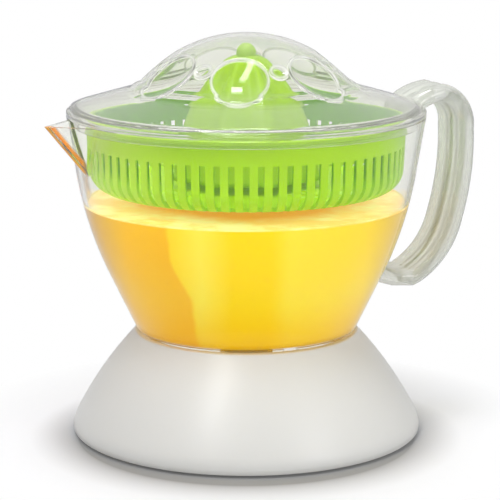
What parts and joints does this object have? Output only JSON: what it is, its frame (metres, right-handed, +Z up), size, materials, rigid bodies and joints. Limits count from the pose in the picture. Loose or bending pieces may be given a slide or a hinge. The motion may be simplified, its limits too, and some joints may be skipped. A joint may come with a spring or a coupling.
{
  "type": "citrus press juicer",
  "caption": "Electric citrus press: round white motor base, clear jug with spout and ribbed handle, green slotted strainer and reamer, clear domed lid.",
  "frame": {"origin": "on the reamer's vertical axis, in the plane that the feet stand on", "axes": "+Z up along the reamer's axis, +X towards the handle, -X towards the spout, +Y towards the cord gland"},
  "size_m": [0.2103, 0.162, 0.1827],
  "materials": {
    "white_plastic": "gloss",
    "grey_plastic": "satin",
    "foot_rubber": "matte",
    "seal_rubber": "matte",
    "steel": "satin",
    "core_steel": "satin",
    "copper": "satin",
    "bronze": "satin",
    "ferrite": "matte",
    "ivory_plastic": "satin",
    "black_plastic": "satin",
    "red_plastic": "gloss",
    "clear_plastic": "clear, gloss",
    "green_plastic": "translucent, gloss",
    "green_cone_plastic": "translucent, gloss"
  },
  "bodies": {
    "base": {"base_housing": "white_plastic", "base_plate": "grey_plastic", "rubber_feet": "foot_rubber", "base_screws": "steel", "cord_gland": "foot_rubber", "terminal_block": "ivory_plastic", "stator_core": "core_steel", "coil_bobbin": "ivory_plastic", "coil_winding": "copper", "rotor_bracket": "steel", "motor_screws": "steel", "gear_plate": "grey_plastic", "gear_plate_screws": "steel", "lower_bush": "bronze", "upper_bush": "bronze", "gear_pin": "steel", "shaft_seal": "seal_rubber", "start_switch": "black_plastic", "return_spring": "steel"},
    "rotor": {"rotor_magnet": "ferrite", "rotor_shaft": "steel", "rotor_pinion": "bronze"},
    "idler": {"intermediate_gear": "ivory_plastic"},
    "output": {"output_gear": "ivory_plastic"},
    "shaft": {"drive_shaft": "steel"},
    "plunger": {"switch_plunger": "red_plastic"},
    "jug_body": {"jug": "clear_plastic", "jug_handle": "clear_plastic"},
    "strainer_body": {"strainer": "green_plastic"},
    "reamer": {"small_cone": "green_cone_plastic", "large_cone": "green_cone_plastic"},
    "lid_body": {"lid": "clear_plastic"}
  },
  "joints": [
    {"name": "output_turn", "type": "hinge", "parent": "base", "child": "output", "pos_m": [0, 0, 0.03], "axis": [0, 0, 1], "continuous": true},
    {"name": "shaft_press", "type": "slide", "parent": "output", "child": "shaft", "axis": [0, 0, 1], "range_m": [-0.003, 0], "stiffness_N_per_m": 900, "springref_m": 0.004, "deforming": ["return_spring"]},
    {"name": "plunger_press", "type": "slide", "parent": "base", "child": "plunger", "axis": [0, 0, 1], "range_m": [-0.003, 0]},
    {"name": "idler_turn", "type": "hinge", "parent": "base", "child": "idler", "pos_m": [0, 0.02885, 0.03], "axis": [0, 0, 1], "continuous": true},
    {"name": "rotor_turn", "type": "hinge", "parent": "base", "child": "rotor", "pos_m": [0.02097, 0.02702, 0.02], "axis": [0, 0, 1], "continuous": true},
    {"name": "jug_lift", "type": "slide", "parent": "base", "child": "jug_body", "axis": [0, 0, 1], "range_m": [0, 0.1]},
    {"name": "strainer_lift", "type": "slide", "parent": "jug_body", "child": "strainer_body", "axis": [0, 0, 1], "range_m": [0, 0.05]},
    {"name": "reamer_turn", "type": "hinge", "parent": "strainer_body", "child": "reamer", "pos_m": [0, 0, 0.12], "axis": [0, 0, 1], "continuous": true},
    {"name": "lid_lift", "type": "slide", "parent": "strainer_body", "child": "lid_body", "axis": [0, 0, 1], "range_m": [0, 0.06]}
  ],
  "couplings": [
    {"joint": "plunger_press", "follows": "shaft_press", "ratio": 1},
    {"joint": "idler_turn", "follows": "rotor_turn", "ratio": -0.16667},
    {"joint": "output_turn", "follows": "rotor_turn", "ratio": 0.033333},
    {"joint": "reamer_turn", "follows": "rotor_turn", "ratio": 0.033333}
  ]
}
